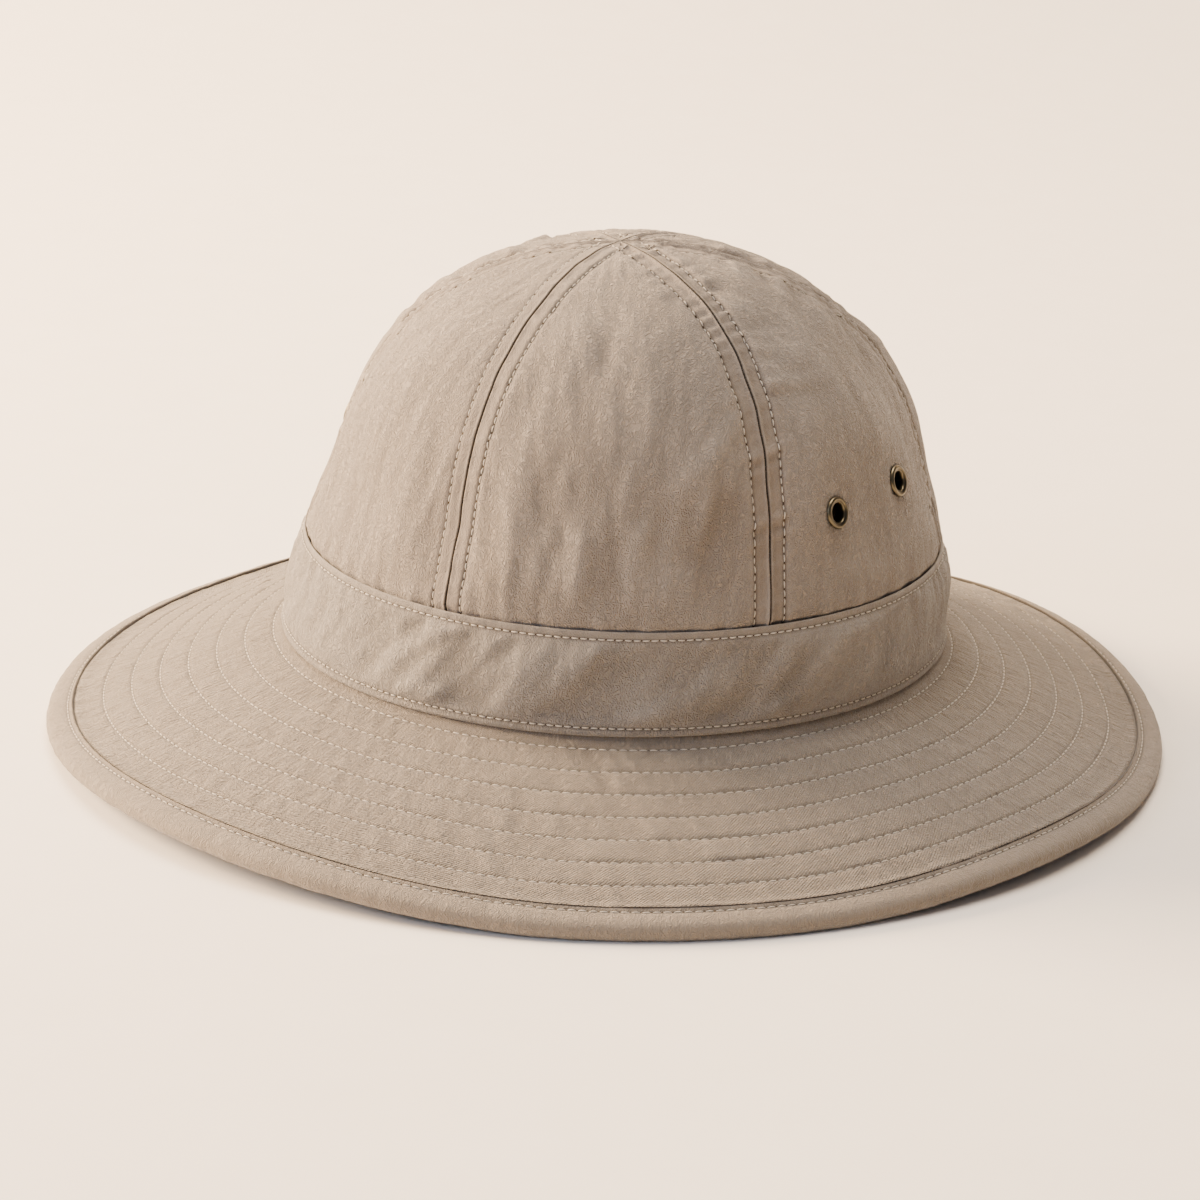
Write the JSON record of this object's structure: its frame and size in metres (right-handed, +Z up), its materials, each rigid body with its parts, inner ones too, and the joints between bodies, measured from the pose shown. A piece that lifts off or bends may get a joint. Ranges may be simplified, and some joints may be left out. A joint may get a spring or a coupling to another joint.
{
  "type": "wide-brim hat",
  "caption": "Wide-brim cotton sun hat: domed panelled crown with side eyelets, stitched band, and a sloping quilted brim with a bound edge.",
  "frame": {"origin": "on the surface that the hat rests on, under the middle of the brim's edge", "axes": "+Z up through the crown, -Y towards the front, where the wearer faces, and +X towards the wearer's left"},
  "size_m": [0.3249, 0.3249, 0.1447],
  "materials": {
    "crown_cloth": "washed taupe cotton, matt",
    "band_cloth": "washed taupe cotton, matt",
    "brim_cloth": "quilted taupe cotton, matt",
    "binding_cloth": "folded taupe cotton, matt",
    "eyelet_brass": "antiqued brass, satin"
  },
  "bodies": {
    "root": {"crown_panel_front_left": "crown_cloth", "crown_panel_side_left": "crown_cloth", "crown_panel_back_left": "crown_cloth", "crown_panel_back_right": "crown_cloth", "crown_panel_side_right": "crown_cloth", "crown_panel_front_right": "crown_cloth", "crown_band": "band_cloth", "brim": "brim_cloth", "brim_binding": "binding_cloth", "eyelet_left_front": "eyelet_brass", "eyelet_left_back": "eyelet_brass", "eyelet_right_front": "eyelet_brass", "eyelet_right_back": "eyelet_brass"}
  },
  "joints": []
}
